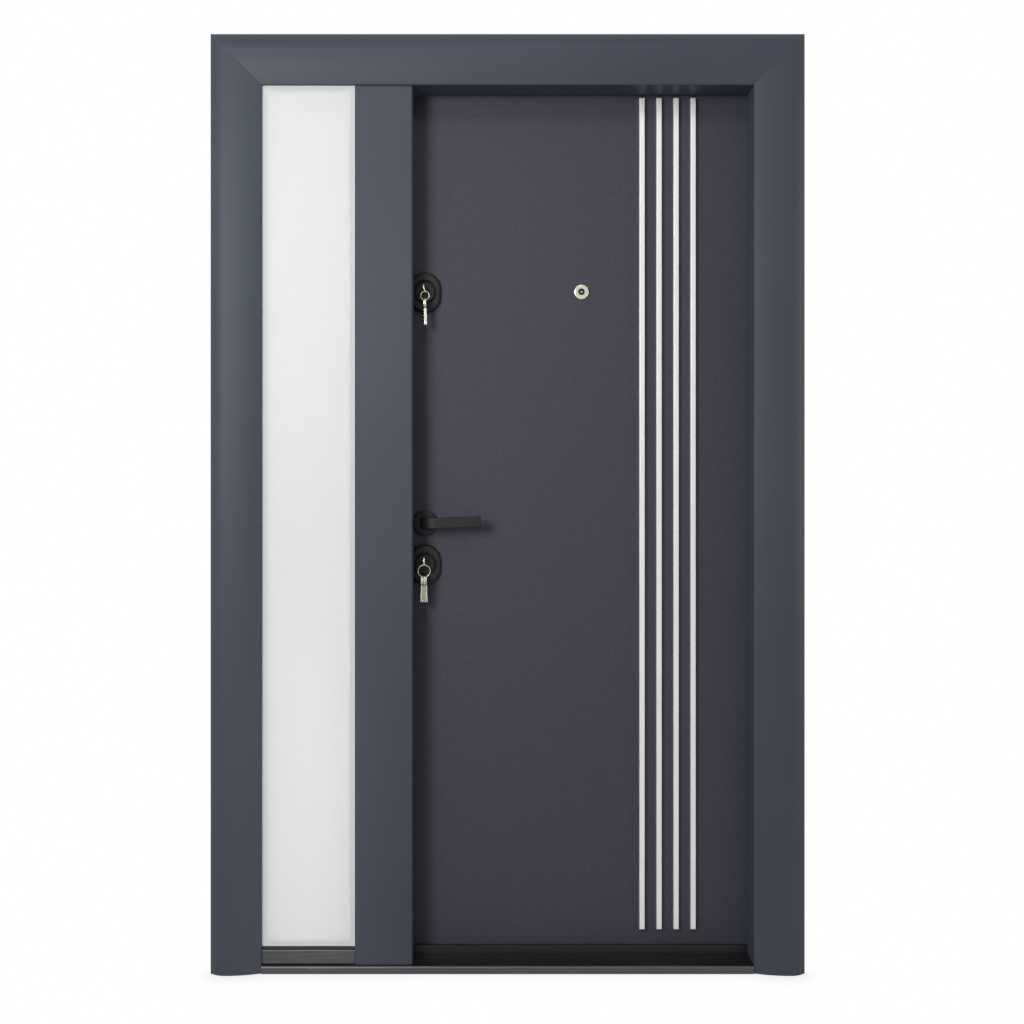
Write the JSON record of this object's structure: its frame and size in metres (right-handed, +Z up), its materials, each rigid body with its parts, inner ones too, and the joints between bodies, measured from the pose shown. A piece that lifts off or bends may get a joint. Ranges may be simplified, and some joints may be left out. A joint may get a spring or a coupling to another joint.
{
  "type": "metal entrance door with sidelight",
  "caption": "Steel entrance door in a mitred frame with convex casing, fixed frosted sidelight, hinged leaf with upright metal strips, lever handle and keyed locks.",
  "frame": {"origin": "on the underside of the sill, at mid width, in the plane of the wall face behind the casing", "axes": "+X to the right seen from outside, +Y into the building, +Z up"},
  "size_m": [1.299, 0.205, 2.054],
  "materials": {
    "frame_paint": "satin anthracite paint on steel sheet",
    "leaf_paint": "fine textured anthracite powder coat on steel sheet",
    "sill_steel": "dark brushed steel",
    "stainless": "satin stainless steel",
    "strip_aluminium": "satin anodised aluminium",
    "frosted_glass": "frosted white",
    "pale_silicone": "pale grey silicone",
    "black_rubber": "matt",
    "core_board": "matt insulation board",
    "black_hardware": "satin black",
    "nickel": "pale nickel plate",
    "lens": "clear polished"
  },
  "bodies": {
    "frame": {"left_jamb": "frame_paint", "right_jamb": "frame_paint", "head": "frame_paint", "sill": "sill_steel", "mullion_cover": "frame_paint", "mullion_post": "frame_paint", "sidelight_rail": "sill_steel", "outer_pane": "frosted_glass", "pane_spacer": "pale_silicone", "inner_pane": "frosted_glass", "pane_seal": "pale_silicone", "foot_gasket": "black_rubber", "upright_beads": "frame_paint", "level_beads": "frame_paint", "leaf_seal": "black_rubber", "strike_plates": "stainless", "frame_hinges": "frame_paint", "hinge_pins": "stainless"},
    "leaf": {"leaf_hinges": "frame_paint", "leaf_outer_skin": "leaf_paint", "leaf_core": "core_board", "leaf_inner_skin": "leaf_paint", "leaf_strips": "strip_aluminium", "lock_faceplates": "stainless", "lock_bolts": "stainless", "upper_escutcheon": "black_hardware", "lower_escutcheon": "black_hardware", "guard_discs": "black_hardware", "lock_cylinders": "nickel", "inner_escutcheons": "black_hardware", "outer_rose": "black_hardware", "inner_rose": "black_hardware", "peephole_rim": "nickel", "peephole_eyepiece": "nickel", "peephole_lenses": "lens", "upper_key": "nickel", "lower_key": "nickel"},
    "handle": {"outer_lever": "black_hardware", "inner_lever": "black_hardware", "spindle": "stainless"},
    "upper_key_bunch": {"upper_ring": "nickel", "upper_spare_keys": "nickel"},
    "lower_key_bunch": {"lower_ring": "nickel", "lower_spare_keys": "nickel"}
  },
  "joints": [
    {"name": "leaf_swing", "type": "hinge", "parent": "frame", "child": "leaf", "pos_m": [0.556, 0.143, 1], "axis": [0, 0, -1], "range_deg": [0, 110]},
    {"name": "handle_turn", "type": "hinge", "parent": "leaf", "child": "handle", "pos_m": [-0.186, 0.076, 0.982], "axis": [0, 1, 0], "range_deg": [0, 45], "stiffness_Nm_per_rad": 1.5, "springref_deg": -28.65},
    {"name": "upper_key_bunch_swing", "type": "hinge", "parent": "leaf", "child": "upper_key_bunch", "pos_m": [-0.18403, 0.0415, 1.49866], "axis": [-1, 0, 0], "range_deg": [-8, 60]},
    {"name": "lower_key_bunch_swing", "type": "hinge", "parent": "leaf", "child": "lower_key_bunch", "pos_m": [-0.186, 0.0415, 0.8894], "axis": [-1, 0, 0], "range_deg": [-8, 60]}
  ]
}
